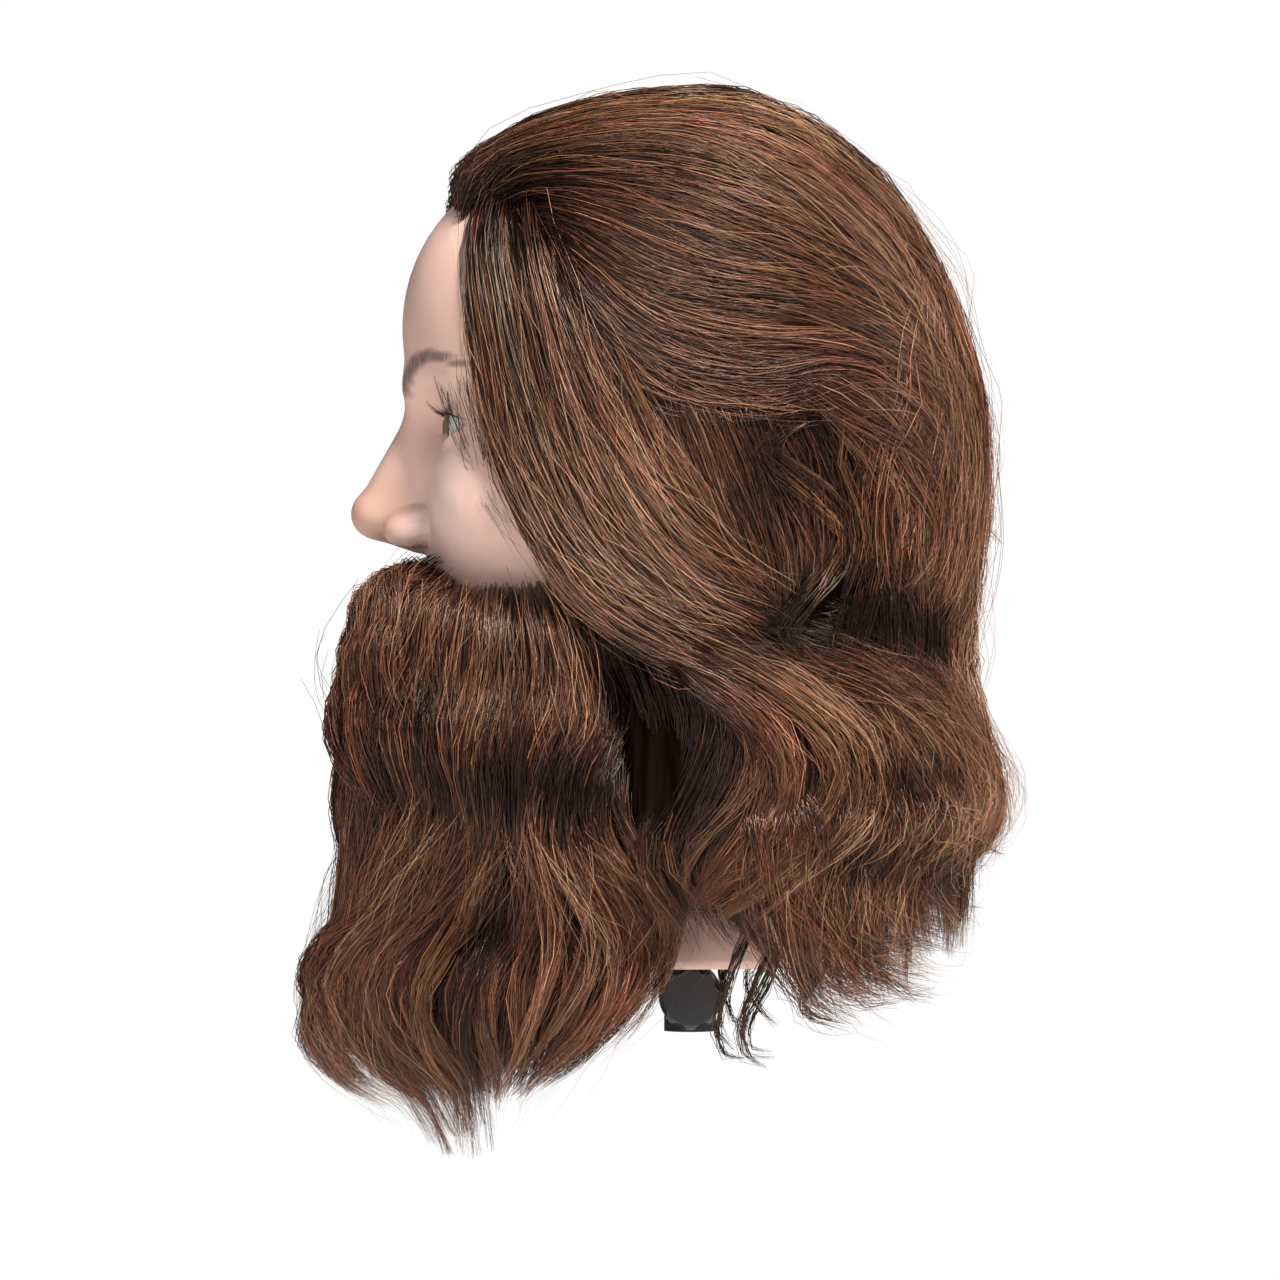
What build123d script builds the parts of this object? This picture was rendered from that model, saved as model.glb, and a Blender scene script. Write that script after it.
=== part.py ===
# Bearded hairdressing training head on its tilting swivel, in millimetres.
# +Z is up and the face looks along -Y. The origin is the mouth of the thread that takes the stand.
import os
from build123d import *

os.makedirs("parts", exist_ok=True)

# ---- driving dimensions -------------------------------------------------------------------
NECK_PLANE = 25.0          # height of the flat underside of the neck
SKIN = 4.0                 # thickness of the moulded vinyl skin
GAP = 0.5                  # room between neighbouring soft pieces
FIT = 0.1                  # room between plain plastic pieces
RUN = 0.05                 # radial clearance of a turning fit

PLATE_THICK = 5.0          # rigid plate that closes the neck
PLATE_HALF_X, PLATE_HALF_Y = 50.0, 54.0
SCREW_COUNT, SCREW_CIRCLE = 4, 20.0
SCREW_R, SCREW_HEAD_R, SCREW_LENGTH = 2.0, 3.8, 13.0

SLEEVE_R, SLEEVE_FLANGE_R, SLEEVE_FLANGE, SLEEVE_TOP = 16.0, 25.0, 6.0, 80.0
POST_BOTTOM_R, POST_TOP_R, POST_TOP = 12.0, 10.5, 75.0
POST_FLANGE_R = 15.0

PIVOT_DROP = 12.0          # tilt axis below the neck plane
CHEEK_R = 11.5             # round cheeks of the fork
FORK_HALF, SLOT_HALF = 11.0, 5.0
TONGUE_HALF, TONGUE_R = 3.5, 7.0
BOSS_R = 9.5
STAND_THREAD_R = 4.0       # minor radius of a 3/8 inch stand thread
WEB_TOP = -19.4            # top of the web under the tongue, from the neck plane

BOLT_R, BOLT_HEAD_R, BOLT_HEAD = 3.0, 5.6, 4.0
BOLT_END = 21.0
WASHER_R = 7.0
KNOB_START, KNOB_END, KNOB_R, KNOB_LOBES = 12.8, 27.0, 11.3, 8
INSERT_R, INSERT_DEPTH = 5.0, 7.0

EYE_R, EYE_X, EYE_Y, EYE_Z = 12.0, 32.0, -79.0, 193.0
LID_HALF_X, LID_HALF_Z = 15.0, 6.0
EAR_HALF_Y, EAR_HALF_Z, EAR_Y, EAR_Z, EAR_REACH = 17.0, 30.0, 2.0, 172.0, 88.0

FACE_EDGE = -62.0          # front edge of the side hair
SIDE_EDGE = 45.0           # where the side hair meets the back hair
BEARD_EDGE = -14.0         # where the side hair meets the beard below the jaw
JAW_LEVEL, TOP_LEVEL, BACK_LEVEL, CROWN_EDGE = 145.0, 245.0, 120.0, -10.0
STAND_CLEAR_R = 46.0       # free space round the stand under the neck
HEM_CLEAR_R = 68.0         # the same inside the hair that hangs below the neck

# Level sections, each (height above the neck plane, centre y, half width x, half depth y).
HEAD = [
    (0, 0, 55, 59), (25, 0, 52, 55), (55, 1, 51, 54), (78, -8, 55, 70), (95, -13, 60, 86),
    (125, -11, 67, 90), (160, -8, 71, 93), (200, -8, 75, 94), (235, -8, 76, 96),
    (265, -5, 71, 89), (287, -2, 57, 70), (303, 0, 30, 36),
]
NOSE = [(151, -96, 15, 13), (161, -104, 15, 19), (178, -101, 9, 13), (197, -97, 6, 7)]
HAIR = [
    (-12, 12, 84, 78), (10, 4, 94, 86), (30, 2, 101, 98), (50, 8, 105, 105), (85, 4, 104, 103),
    (125, 3, 102, 101), (165, 6, 100, 104), (205, 5, 98, 104), (240, 1, 94, 98),
    (268, -2, 86, 90), (290, -7, 72, 77), (306, -7, 52, 56), (319, 0, 22, 24),
]
MOUSTACHE = [(113, -109, 42, 21), (130, -107, 40, 20), (149, -103, 30, 14)]
BEARD_FRONT = [
    (-54, -90, 20, 14), (-40, -96, 38, 29), (-18, -102, 47, 41), (12, -97, 49, 34),
    (55, -97, 49, 35), (90, -108, 48, 24), (111, -109, 46, 22),
]
BEARD_SIDE = [
    (-24, -52, 17, 30), (0, -55, 21, 39), (50, -55, 21, 39), (100, -56, 21, 38),
    (125, -62, 18, 32), (139, -68, 13, 22),
]
BEARD_SIDE_X = 72.0
BEARD_ROUND = 0.8          # corner radius of the beard's sections, as a part of their half width


def lofted(rows, grow=0.0):
    """A smooth solid through level elliptical sections."""
    return loft([Pos(0, y, z) * Ellipse(a + grow, b + grow) for z, y, a, b in rows])


def lofted_pad(rows, centre_x=0.0):
    """A smooth solid through level sections with rounded corners."""
    return loft([
        Pos(centre_x, y, z) * RectangleRounded(2 * a, 2 * b, BEARD_ROUND * min(a, b))
        for z, y, a, b in rows
    ])


def block(x, y, z):
    """A box from its three (low, high) pairs."""
    size = [high - low for low, high in (x, y, z)]
    centre = [(high + low) / 2 for low, high in (x, y, z)]
    return Pos(*centre) * Box(*size)


def level_disc(radius, bottom, top):
    return Pos(0, 0, (bottom + top) / 2) * Cylinder(radius, top - bottom)


def cross_disc(radius, start, end):
    """A round bar along X on the tilt axis."""
    return Pos((start + end) / 2, 0, -PIVOT_DROP) * Rot(0, 90, 0) * Cylinder(radius, end - start)


def cross_ring(radius, bore, start, end):
    return cross_disc(radius, start, end) - cross_disc(bore, start - 1, end + 1)


def level_ellipse(half_x, half_y, bottom, top):
    return extrude(Pos(0, 0, bottom) * Ellipse(half_x, half_y), amount=top - bottom)


# ---- head ---------------------------------------------------------------------------------
def eye_ball(side, grow=0.0):
    return Pos(side * EYE_X, EYE_Y, EYE_Z) * Sphere(EYE_R + grow)


def lid_cut(side, shrink=0.0, front=-140.0, back=EYE_Y):
    """The almond opening between the eyelids, as a bar along Y."""
    face = Plane.XZ.offset(-back) * Pos(side * EYE_X, EYE_Z) * Ellipse(LID_HALF_X - shrink, LID_HALF_Z - shrink)
    return extrude(face, amount=back - front)


def eye_recess(side):
    """The round pocket in the foam behind each eye, as a bar along Y."""
    back = EYE_Y + EYE_R + FIT
    face = Plane.XZ.offset(-back) * Pos(side * EYE_X, EYE_Z) * Circle(EYE_R + FIT)
    return extrude(face, amount=back + 140)


def ears(grow=0.0):
    """Both ears as one elliptical bar through the head."""
    outline = Plane.YZ.offset(-EAR_REACH - grow) * Pos(EAR_Y, EAR_Z)
    bar = extrude(outline * Ellipse(EAR_HALF_Y + grow, EAR_HALF_Z + grow), amount=2 * (EAR_REACH + grow))
    return bar


def head_outside(grow=0.0):
    return lofted(HEAD, grow) + lofted(NOSE, grow)


def screw_places():
    return PolarLocations(SCREW_CIRCLE, SCREW_COUNT, start_angle=45)


def head_skin():
    hollow = lofted(HEAD, -SKIN) & block((-200, 200), (-200, 200), (PLATE_THICK, 400 - SKIN))
    recess = level_ellipse(PLATE_HALF_X, PLATE_HALF_Y, -1, PLATE_THICK)
    skin = head_outside() + ears() - hollow - recess
    return skin - [eye_ball(1, FIT), eye_ball(-1, FIT)] - [lid_cut(1), lid_cut(-1)]


def foam_core():
    crown = HEAD[-1][0] - SKIN
    core = lofted(HEAD, -SKIN - GAP) & block((-200, 200), (-200, 200), (PLATE_THICK + FIT, crown))
    core = core - level_disc(SLEEVE_R + FIT, 0, SLEEVE_TOP + FIT)
    core = core - level_disc(SLEEVE_FLANGE_R + FIT, 0, PLATE_THICK + SLEEVE_FLANGE + 2 * FIT)
    core = core - screw_holes(SCREW_R + FIT, SCREW_LENGTH + FIT)
    return core - [eye_recess(1), eye_recess(-1)] - [lid_cut(1), lid_cut(-1)]


def screw_holes(radius, top):
    return [place * level_disc(radius, -1, top) for place in screw_places()]


def neck_plate():
    plate = level_ellipse(PLATE_HALF_X - FIT, PLATE_HALF_Y - FIT, 0, PLATE_THICK)
    plate = plate - level_disc(POST_FLANGE_R + 3 * FIT, -1, PLATE_THICK + 1)
    plate = plate - screw_holes(SCREW_R + FIT, PLATE_THICK + 1)
    heads = [place * level_disc(SCREW_HEAD_R + FIT, -1, SCREW_R + FIT) for place in screw_places()]
    return plate - heads


def socket_sleeve():
    bottom = PLATE_THICK + FIT
    sleeve = level_disc(SLEEVE_R, bottom, SLEEVE_TOP)
    sleeve = sleeve + level_disc(SLEEVE_FLANGE_R, bottom, bottom + SLEEVE_FLANGE)
    sleeve = sleeve - taper(2 * RUN) - level_disc(POST_TOP_R, POST_TOP - 1, POST_TOP + 1)
    return sleeve - screw_holes(SCREW_R + FIT, SLEEVE_TOP)


def plate_screws():
    screw = level_disc(SCREW_HEAD_R, 0, SCREW_R) + level_disc(SCREW_R, 0, SCREW_LENGTH)
    driver = Pos(0, 0, -1) * extrude(RegularPolygon(SCREW_R * 0.6, 6), amount=2)
    return Compound([place * (screw - driver) for place in screw_places()])


def lash_strip(side):
    """A stiff strip of lashes along the upper lid."""
    ring = lid_cut(side, FIT, -100, -90) - lid_cut(side, 1.0, -101, -89)
    upper = block((-200, 200), (-200, 0), (EYE_Z + 1, EYE_Z + LID_HALF_Z + 1))
    return ring & upper


# ---- scalp hair and beard -------------------------------------------------------------------
def hair_shell():
    """All the scalp hair as one shell round the head, clear of the ears and the stand."""
    shell = lofted(HAIR) - head_outside(GAP) - ears(GAP)
    return shell - level_disc(HEM_CLEAR_R, -100, -GAP)


def hair_pieces():
    half = GAP / 2
    low, high, wide = -100, 400, 300
    shell = hair_shell()
    upper = (JAW_LEVEL + half, TOP_LEVEL - half)
    under = (half, JAW_LEVEL + half)
    hem = (low, -GAP)
    pieces = {
        "hair_front": [block((-wide, wide), (-wide, CROWN_EDGE - half), (TOP_LEVEL + half, high))],
        "hair_crown": [block((-wide, wide), (CROWN_EDGE + half, wide), (TOP_LEVEL + half, high))],
        "hair_back": [block((-wide, wide), (SIDE_EDGE + half, wide), (BACK_LEVEL + half, upper[1]))],
        "hair_nape": [block((-wide, wide), (SIDE_EDGE + half, wide), (low, BACK_LEVEL - half))],
    }
    for name, reach in (("hair_left", (0, wide)), ("hair_right", (-wide, 0))):
        pieces[name] = [
            block(reach, (FACE_EDGE, SIDE_EDGE - half), upper),
            block(reach, (BEARD_EDGE + half, SIDE_EDGE - half), under),
        ]
        pieces[name.replace("hair", "hair_hem")] = [block(reach, (BEARD_EDGE + half, SIDE_EDGE - half), hem)]
    return {name: shell & sum_of(blocks) for name, blocks in pieces.items()}


def sum_of(shapes):
    total = shapes[0]
    for shape in shapes[1:]:
        total = total + shape
    return total


def beard_piece(rows, centre_x=0.0):
    return lofted_pad(rows, centre_x) - head_outside(GAP) - level_disc(STAND_CLEAR_R, -100, 5)


# ---- post, swivel and lock knob ---------------------------------------------------------------
def taper(grow=0.0):
    """The tapered plug that the head is pushed onto."""
    height = POST_TOP - PLATE_THICK
    plug = Cone(POST_BOTTOM_R + grow, POST_TOP_R + grow, height)
    return Pos(0, 0, PLATE_THICK + height / 2) * plug


def taper_post():
    flange = level_disc(POST_FLANGE_R, 2 * FIT, PLATE_THICK)
    tongue = cross_disc(TONGUE_R, -TONGUE_HALF, TONGUE_HALF)
    tongue = tongue + block((-TONGUE_HALF, TONGUE_HALF), (-TONGUE_R, TONGUE_R), (-PIVOT_DROP, 1))
    return taper() + flange + tongue - cross_disc(BOLT_R + RUN, -20, 20)


def swivel_fork():
    fork = cross_disc(CHEEK_R, -FORK_HALF, FORK_HALF) + level_disc(BOSS_R, -NECK_PLANE, WEB_TOP)
    slot = block((-SLOT_HALF, SLOT_HALF), (-20, 20), (WEB_TOP, 5))
    return fork - slot - cross_disc(BOLT_R + FIT, -20, 20) - level_disc(STAND_THREAD_R, -30, 0)


def pivot_bolt():
    head = Plane.YZ.offset(-FORK_HALF - FIT) * Pos(0, -PIVOT_DROP) * RegularPolygon(BOLT_HEAD_R, 6)
    return cross_disc(BOLT_R, -FORK_HALF - FIT, BOLT_END) + extrude(head, amount=-BOLT_HEAD)


def friction_washers():
    washer = cross_ring(WASHER_R, BOLT_R + FIT, TONGUE_HALF + FIT, SLOT_HALF - FIT)
    return Compound([washer, mirror(washer, about=Plane.YZ)])


def knob_washer():
    return cross_ring(WASHER_R + 1, BOLT_R + FIT, FORK_HALF + FIT, KNOB_START - FIT)


def lock_knob():
    knob = cross_disc(KNOB_R, KNOB_START, KNOB_END)
    knob = fillet(knob.edges().filter_by(GeomType.CIRCLE).sort_by(Axis.X)[-1], 2.0)
    scallop = Rot(0, 90, 0) * Cylinder(4.0, 200)
    reach = KNOB_R + 2.4
    for index in range(KNOB_LOBES):
        turn = Rot(360 / KNOB_LOBES * (index + 0.5), 0, 0)
        knob = knob - Pos(0, 0, -PIVOT_DROP) * turn * Pos(0, 0, reach) * scallop
    knob = knob - cross_disc(INSERT_R + FIT, KNOB_START - 1, KNOB_START + INSERT_DEPTH)
    return knob - cross_disc(BOLT_R + 3 * FIT, KNOB_START, BOLT_END + 1)


def knob_insert():
    return cross_ring(INSERT_R, BOLT_R + RUN, KNOB_START, KNOB_START + INSERT_DEPTH - FIT)


# ---- the whole object -------------------------------------------------------------------------
nodes = {
    "head_skin": head_skin(),
    "foam_core": foam_core(),
    "neck_plate": neck_plate(),
    "socket_sleeve": socket_sleeve(),
    "plate_screws": plate_screws(),
    "eye_left": eye_ball(1),
    "eye_right": eye_ball(-1),
    "lashes_left": lash_strip(1),
    "lashes_right": lash_strip(-1),
    "moustache": beard_piece(MOUSTACHE),
    "beard_front": beard_piece(BEARD_FRONT),
    "beard_left": beard_piece(BEARD_SIDE, BEARD_SIDE_X),
    "beard_right": beard_piece(BEARD_SIDE, -BEARD_SIDE_X),
    "taper_post": taper_post(),
    "swivel_fork": swivel_fork(),
    "pivot_bolt": pivot_bolt(),
    "friction_washers": friction_washers(),
    "knob_washer": knob_washer(),
    "lock_knob": lock_knob(),
    "knob_insert": knob_insert(),
}
nodes.update(hair_pieces())

for name, shape in nodes.items():
    export_step(Pos(0, 0, NECK_PLANE) * shape, f"parts/{name}.step")
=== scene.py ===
# Bearded hairdressing training head: the visible surfaces, materials, lights and camera.
import math

import bpy
import numpy as np
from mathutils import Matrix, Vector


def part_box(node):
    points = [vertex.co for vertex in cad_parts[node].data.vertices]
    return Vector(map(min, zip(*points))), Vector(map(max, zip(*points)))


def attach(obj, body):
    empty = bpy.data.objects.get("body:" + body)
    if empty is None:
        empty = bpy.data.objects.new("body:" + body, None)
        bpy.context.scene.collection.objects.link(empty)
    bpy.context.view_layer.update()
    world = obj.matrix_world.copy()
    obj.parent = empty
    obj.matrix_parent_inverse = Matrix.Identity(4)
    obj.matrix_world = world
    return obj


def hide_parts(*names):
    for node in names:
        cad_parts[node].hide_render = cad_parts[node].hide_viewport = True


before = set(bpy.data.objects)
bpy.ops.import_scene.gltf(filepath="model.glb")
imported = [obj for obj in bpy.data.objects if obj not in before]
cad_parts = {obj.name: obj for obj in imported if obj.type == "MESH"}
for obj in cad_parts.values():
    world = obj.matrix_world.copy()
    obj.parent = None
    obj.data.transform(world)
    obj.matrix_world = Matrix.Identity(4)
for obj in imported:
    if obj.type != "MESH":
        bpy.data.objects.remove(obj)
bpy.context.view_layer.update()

# ---- units and places -----------------------------------------------------------------------
MM = 0.001
NECK_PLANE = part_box("neck_plate")[0][2] / MM      # flat underside of the neck, mm
SEED = 20260
SIDES = (1, -1)

# Level sections in mm above the neck plane: height, centre y, half width x, half depth y.
HAIR = np.array([
    (-40, 12, 92, 88), (-12, 10, 97, 92), (10, 6, 100, 94), (30, 3, 103, 101), (50, 6, 105, 106),
    (85, 4, 103, 104), (125, 2, 100, 102), (165, 4, 98, 105), (205, 3, 96, 105), (240, 0, 92, 99),
    (268, -3, 84, 90), (290, -7, 71, 77), (306, -6, 52, 57), (315, -2, 34, 38), (321, 2, 4, 5),
], float)
BEARD = np.array([
    (-60, -62, 70, 40), (-50, -60, 76, 60), (-40, -56, 80, 76), (-28, -52, 84, 91),
    (-17, -48, 88, 95), (-7, -46, 90, 98), (8, -44, 91, 95), (23, -42, 92, 90), (41, -42, 92, 84),
    (60, -42, 92, 88), (78, -42, 91, 90), (96, -42, 89, 89), (114, -40, 86, 89),
    (130, -38, 80, 87), (141, -36, 75, 84), (150, -34, 70, 76),
], float)
SKULL = np.array([
    (0, 0, 55, 59), (25, 0, 52, 55), (55, 1, 51, 54), (78, -8, 55, 70), (95, -13, 60, 86),
    (125, -11, 67, 90), (160, -8, 71, 93), (200, -8, 75, 94), (235, -8, 76, 96),
    (265, -5, 71, 89), (287, -2, 57, 70), (303, 0, 30, 36),
], float)
HAIR_EDGE = np.array([      # front edge of the hanging hair: height, y
    (-40, 16), (26, 16), (34, -42), (110, -42), (120, -40), (136, -42), (158, -52), (180, -62), (207, -70),
    (235, -75), (262, -82), (275, -88), (300, -84), (330, -70),
], float)
EYE_X, EYE_Y, EYE_Z, EYE_R = 32.0, -76.5, 193.5, 12.0
LID_R = 13.3


def metres(points):
    """Points in mm above the neck plane, as metres in the row frame."""
    points = np.asarray(points, float)
    return (points + np.array([0.0, 0.0, NECK_PLANE])) * MM


def sections(rows, z):
    """Centre y, half width and half depth at the heights z."""
    return [np.interp(z, rows[:, 0], rows[:, k]) for k in (1, 2, 3)]


def smooth_step(low, high, x):
    t = np.clip((x - low) / (high - low), 0.0, 1.0)
    return t * t * (3 - 2 * t)


def unit(v):
    return v / np.maximum(np.linalg.norm(v, axis=-1, keepdims=True), 1e-9)


# ---- materials ------------------------------------------------------------------------------
def new_material(name, color, roughness, **sockets):
    """A Principled material with plain values; returns (material, node tree, shader)."""
    mat = bpy.data.materials.new(name)
    mat.use_nodes = True
    tree = mat.node_tree
    shader = tree.nodes["Principled BSDF"]
    shader.inputs["Base Color"].default_value = (*color, 1.0)
    shader.inputs["Roughness"].default_value = roughness
    for key, value in sockets.items():
        shader.inputs[key.replace("_", " ")].default_value = value
    return mat, tree, shader


def add_node(tree, kind, **values):
    """A node with values set on its sockets where the names match, and on the node where not."""
    node = tree.nodes.new(kind)
    for key, value in values.items():
        if key in node.inputs:
            node.inputs[key].default_value = value
        else:
            setattr(node, key, value)
    return node


def noise_node(tree, scale, detail=3.0, stretch=(1, 1, 1)):
    coords = add_node(tree, "ShaderNodeTexCoord")
    mapping = add_node(tree, "ShaderNodeMapping")
    mapping.inputs["Scale"].default_value = stretch
    noise = add_node(tree, "ShaderNodeTexNoise", Scale=scale, Detail=detail)
    tree.links.new(coords.outputs["Object"], mapping.inputs["Vector"])
    tree.links.new(mapping.outputs["Vector"], noise.inputs["Vector"])
    return noise.outputs["Fac"]


def ramp(tree, fac, stops):
    node = add_node(tree, "ShaderNodeValToRGB")
    elements = node.color_ramp.elements
    while len(elements) < len(stops):
        elements.new(0.5)
    for element, (place, color) in zip(elements, stops):
        element.position = place
        element.color = (*color, 1.0)
    tree.links.new(fac, node.inputs["Fac"])
    return node.outputs["Color"]


def blend_color(tree, fac, first, second):
    mix = add_node(tree, "ShaderNodeMix", data_type="RGBA")
    sockets = [s for s in mix.inputs if s.type == "RGBA"]
    tree.links.new(fac, mix.inputs[0])
    for socket, value in zip(sockets, (first, second)):
        if isinstance(value, tuple):
            socket.default_value = (*value, 1.0)
        else:
            tree.links.new(value, socket)
    return [s for s in mix.outputs if s.type == "RGBA"][0]


def add_bump(tree, shader, height, strength, distance):
    bump = add_node(tree, "ShaderNodeBump", Strength=strength, Distance=distance)
    tree.links.new(height, bump.inputs["Height"])
    tree.links.new(bump.outputs["Normal"], shader.inputs["Normal"])


def math_node(tree, operation, *inputs, clamp=False):
    node = add_node(tree, "ShaderNodeMath", operation=operation, use_clamp=clamp)
    for socket, value in zip(node.inputs, inputs):
        if isinstance(value, (int, float)):
            socket.default_value = value
        else:
            tree.links.new(value, socket)
    return node.outputs[0]


def painted_spot(tree, xyz, centre, radii, soft):
    """1 inside an ellipsoid on either side of the face and 0 outside, with a soft edge."""
    total = None
    folded = (math_node(tree, "ABSOLUTE", xyz[0]), xyz[1], xyz[2])
    for value, middle, radius in zip(folded, centre, radii):
        part = math_node(tree, "DIVIDE", math_node(tree, "SUBTRACT", value, middle), radius)
        part = math_node(tree, "MULTIPLY", part, part)
        total = part if total is None else math_node(tree, "ADD", total, part)
    return math_node(tree, "DIVIDE", math_node(tree, "SUBTRACT", 1.0, total), soft, clamp=True)


def skin_material():
    """Matt flesh vinyl with faint mottling, painted brows, a liner over the eyes and painted light on the
    cheeks.
    """
    mat, tree, shader = new_material("vinyl_skin", (0.60, 0.38, 0.30), 0.46, Specular_IOR_Level=0.42,
                                     Subsurface_Weight=0.12, Subsurface_Scale=0.006, Coat_Weight=0.04)
    shader.inputs["Subsurface Radius"].default_value = (1.0, 0.35, 0.2)
    flesh = ramp(tree, noise_node(tree, 22.0, 4.0), [
        (0.30, (0.635, 0.410, 0.345)), (0.52, (0.670, 0.440, 0.370)), (0.72, (0.680, 0.460, 0.370)),
    ])
    coords = add_node(tree, "ShaderNodeTexCoord")
    split = add_node(tree, "ShaderNodeSeparateXYZ")
    tree.links.new(coords.outputs["Object"], split.inputs["Vector"])
    xyz = [split.outputs[axis] for axis in "XYZ"]
    warm_nose = painted_spot(tree, xyz, metres((0, -112, 160)), (0.024, 0.026, 0.022), 0.9)
    color = blend_color(tree, math_node(tree, "MULTIPLY", warm_nose, 0.8), flesh, (0.470, 0.270, 0.195))
    # painted light: a lighter, pinker patch on each cheek stands in for the front light falling there
    cheek_light = painted_spot(tree, xyz, metres((36, -86, 170)), (0.030, 0.034, 0.032), 0.9)
    color = blend_color(tree, math_node(tree, "MULTIPLY", cheek_light, 0.75), color, (0.74, 0.525, 0.480))
    hairs = noise_node(tree, 900.0, 2.0, (1.0, 1.0, 0.25))
    for centre, radii in BROW_SPOTS:
        spot = painted_spot(tree, xyz, metres(centre), [r * MM for r in radii], 0.8)
        spot = math_node(tree, "MULTIPLY", spot, math_node(tree, "MULTIPLY_ADD", hairs, 0.9, 0.30))
        color = blend_color(tree, spot, color, (0.115, 0.085, 0.062))
    liner = painted_spot(tree, xyz, metres((EYE_X - 2, -90, EYE_Z + 6.4)), (0.014, 0.009, 0.0028), 0.7)
    color = blend_color(tree, math_node(tree, "MULTIPLY", liner, 0.75), color, (0.09, 0.075, 0.05))
    tree.links.new(color, shader.inputs["Base Color"])
    add_bump(tree, shader, noise_node(tree, 1500.0, 2.0), 0.12, 0.0004)
    return mat


BROW_SPOTS = [      # centre and half sizes of the dabs of paint that make one brow, mm
    ((11.0, -101, 209.5), (5.0, 12, 5.0)), ((15.0, -99, 213.5), (6.5, 12, 5.0)),
    ((20.0, -97, 216.8), (7.5, 12, 4.6)), ((26.0, -94, 218.8), (8.5, 13, 4.0)),
    ((33.0, -90, 219.8), (8.5, 14, 3.4)), ((40.0, -85, 219.0), (8.5, 14, 2.7)),
    ((47.0, -78, 216.4), (7.0, 14, 1.9)),
]


def plastic_material(name, color, roughness, grain=1400.0, strength=0.15):
    mat, tree, shader = new_material(name, color, roughness, Specular_IOR_Level=0.5)
    fac = noise_node(tree, 60.0, 3.0)
    lighter = tuple(min(1.0, c * 1.35 + 0.004) for c in color)
    tree.links.new(ramp(tree, fac, [(0.35, color), (0.70, lighter)]), shader.inputs["Base Color"])
    add_bump(tree, shader, noise_node(tree, grain, 2.0), strength, 0.0002)
    return mat


def metal_material(name, color, roughness, stretch):
    mat, tree, shader = new_material(name, color, roughness, Metallic=1.0)
    fac = noise_node(tree, 900.0, 2.0, stretch)
    darker = tuple(c * 0.75 for c in color)
    tree.links.new(ramp(tree, fac, [(0.3, darker), (0.7, color)]), shader.inputs["Base Color"])
    add_bump(tree, shader, fac, 0.1, 0.0001)
    return mat


def under_hair_material(name, dark, light):
    """The shaded depth of the hair, streaked along the fall of the strands."""
    mat, tree, shader = new_material(name, dark, 0.9, Specular_IOR_Level=0.0)
    streaks = noise_node(tree, 260.0, 4.0, (1.0, 1.0, 0.07))
    tree.links.new(ramp(tree, streaks, [(0.35, dark), (0.75, light)]), shader.inputs["Base Color"])
    add_bump(tree, shader, streaks, 0.7, 0.002)
    return mat


HAIR_LEVELS = [(0.005, 0.0018, 0.0013), (0.020, 0.0074, 0.0049), (0.050, 0.0192, 0.0116),
               (0.098, 0.0400, 0.0220), (0.170, 0.0745, 0.0385), (0.280, 0.1370, 0.0700),
               (0.450, 0.2580, 0.1420)]
HAIR_TINTS = {"ash": (0.92, 1.02, 1.10), "chestnut": (1.0, 0.90, 1.0), "copper": (1.12, 0.81, 0.90),
              "gold": (1.06, 1.06, 0.84)}
TINT_NAMES = list(HAIR_TINTS)
HAIR_SHEEN = (1.0, 0.78, 0.60, 1)


def strand_materials():
    """One plain shader per tint and depth of colour; each strand runs through several of them."""
    mats = []
    for tint, factors in HAIR_TINTS.items():
        for level, color in enumerate(HAIR_LEVELS):
            shade = tuple(c * f for c, f in zip(color, factors))
            mat, _, shader = new_material(f"hair_{tint}_{level}", shade, 0.32,
                                          Specular_IOR_Level=0.5, IOR=1.55)
            shader.inputs["Specular Tint"].default_value = HAIR_SHEEN
            mats.append(mat)
    return mats


# ---- mesh building ----------------------------------------------------------------------------
def add_mesh(name, points, faces, material):
    """A smooth piece of the head, from points in mm above the neck plane."""
    mesh = bpy.data.meshes.new(name)
    mesh.from_pydata(metres(points).tolist(), [], [list(map(int, f)) for f in faces])
    mesh.materials.append(material)
    mesh.polygons.foreach_set("use_smooth", [True] * len(mesh.polygons))
    mesh.update()
    obj = bpy.data.objects.new(name, mesh)
    bpy.context.scene.collection.objects.link(obj)
    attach(obj, "head")
    return obj


def closed_faces(rows, columns):
    """Faces of a grid of points that goes all the way round, with a pole beyond its first and last row.

    The poles are the two points that follow the grid's own."""
    i, j = np.meshgrid(np.arange(rows - 1), np.arange(columns), indexing="ij")
    k = (j + 1) % columns
    quads = np.stack([i * columns + j, (i + 1) * columns + j, (i + 1) * columns + k, i * columns + k], -1)
    faces = quads.reshape(-1, 4).tolist()
    first_pole, last_pole, last = rows * columns, rows * columns + 1, (rows - 1) * columns
    faces += [(first_pole, j, (j + 1) % columns) for j in range(columns)]
    faces += [(last_pole, last + (j + 1) % columns, last + j) for j in range(columns)]
    return faces


# ---- the face -----------------------------------------------------------------------------------
def ellipsoid(p, centre, radii):
    q = p - np.array(centre, float)
    r = np.array(radii, float)
    k0 = np.linalg.norm(q / r, axis=-1)
    k1 = np.linalg.norm(q / (r * r), axis=-1)
    return k0 * (k0 - 1.0) / np.maximum(k1, 1e-9)


def round_cone(p, a, b, ra, rb):
    a, b = np.array(a, float), np.array(b, float)
    t = np.clip(((p - a) @ (b - a)) / ((b - a) @ (b - a)), 0.0, 1.0)
    return np.linalg.norm(p - (a + t[..., None] * (b - a)), axis=-1) - (ra + (rb - ra) * t)


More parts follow.
